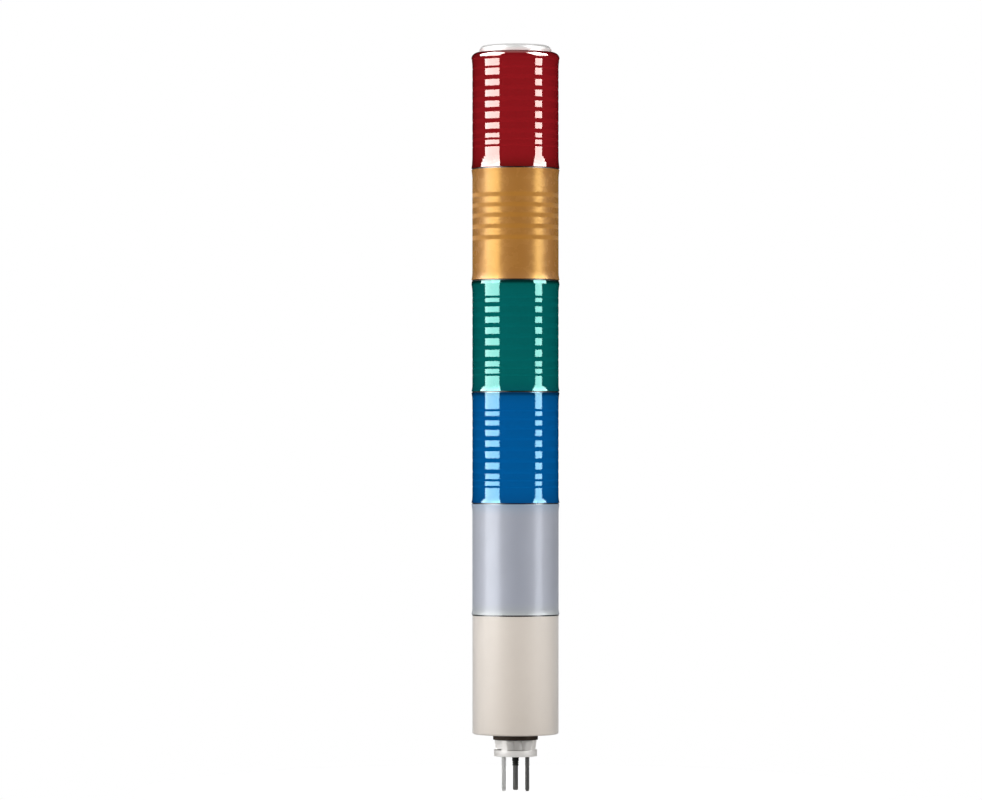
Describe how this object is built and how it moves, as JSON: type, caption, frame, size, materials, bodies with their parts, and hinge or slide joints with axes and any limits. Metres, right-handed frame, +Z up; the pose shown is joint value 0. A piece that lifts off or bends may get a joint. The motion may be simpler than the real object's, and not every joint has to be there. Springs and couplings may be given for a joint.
{
  "type": "stack light",
  "caption": "Upright stack light: red, amber, green, blue and clear lens modules that twist-lock together, on a white base with a studded mounting spigot and a supply lead.",
  "frame": {"origin": "centre of the spigot's end face, where it sits on the panel, on the light's axis", "axes": "+Z up the stack towards the cap; -Y towards the front, with the third stud behind the lead on +Y"},
  "size_m": [0.0558, 0.0558, 0.4714],
  "materials": {
    "lens_clear": "satin frosted clear polycarbonate",
    "lens_blue": "glossy blue polycarbonate",
    "lens_green": "glossy green polycarbonate",
    "lens_amber": "glossy amber polycarbonate",
    "lens_red": "glossy red polycarbonate",
    "ivory_plastic": "fine-grained ivory ABS",
    "white_plastic": "satin white ABS",
    "black_plastic": "satin black",
    "board": "white solder mask",
    "lamp_chip": "yellow phosphor",
    "brass": "bright",
    "steel": "zinc plated",
    "lead": "matt dark grey sheath",
    "relief": "matt black",
    "seal": "matt dark brown",
    "terminal": "green terminal block"
  },
  "bodies": {
    "base": {"base_housing": "ivory_plastic", "mounting_spigot": "white_plastic", "neck_seal": "seal", "mounting_studs": "steel", "spigot_screws": "steel", "supply_lead": "lead", "strain_relief": "relief", "base_socket": "black_plastic", "terminal_board": "board", "terminal_block": "terminal", "terminal_screws": "steel"},
    "module_clear": {"lens_clear": "lens_clear", "module_base_clear": "black_plastic", "contact_socket_clear": "black_plastic", "led_board_clear": "board", "leds_clear": "lamp_chip", "contact_pins_clear": "brass"},
    "module_blue": {"lens_blue": "lens_blue", "module_base_blue": "black_plastic", "contact_socket_blue": "black_plastic", "led_board_blue": "board", "leds_blue": "lamp_chip", "contact_pins_blue": "brass"},
    "module_green": {"lens_green": "lens_green", "module_base_green": "black_plastic", "contact_socket_green": "black_plastic", "led_board_green": "board", "leds_green": "lamp_chip", "contact_pins_green": "brass"},
    "module_amber": {"lens_amber": "lens_amber", "module_base_amber": "black_plastic", "contact_socket_amber": "black_plastic", "led_board_amber": "board", "leds_amber": "lamp_chip", "contact_pins_amber": "brass"},
    "module_red": {"lens_red": "lens_red", "module_base_red": "black_plastic", "contact_socket_red": "black_plastic", "led_board_red": "board", "leds_red": "lamp_chip", "contact_pins_red": "brass"},
    "cap": {"top_cap": "white_plastic"}
  },
  "joints": [
    {"name": "twist_clear", "type": "hinge", "parent": "base", "child": "module_clear", "pos_m": [0, 0, 0.089], "axis": [0, 0, 1], "range_deg": [0, 30]},
    {"name": "twist_blue", "type": "hinge", "parent": "module_clear", "child": "module_blue", "pos_m": [0, 0, 0.1595], "axis": [0, 0, 1], "range_deg": [0, 30]},
    {"name": "twist_green", "type": "hinge", "parent": "module_blue", "child": "module_green", "pos_m": [0, 0, 0.23], "axis": [0, 0, 1], "range_deg": [0, 30]},
    {"name": "twist_amber", "type": "hinge", "parent": "module_green", "child": "module_amber", "pos_m": [0, 0, 0.3005], "axis": [0, 0, 1], "range_deg": [0, 30]},
    {"name": "twist_red", "type": "hinge", "parent": "module_amber", "child": "module_red", "pos_m": [0, 0, 0.371], "axis": [0, 0, 1], "range_deg": [0, 30]},
    {"name": "twist_cap", "type": "hinge", "parent": "module_red", "child": "cap", "pos_m": [0, 0, 0.4453], "axis": [0, 0, 1], "range_deg": [0, 30]}
  ]
}
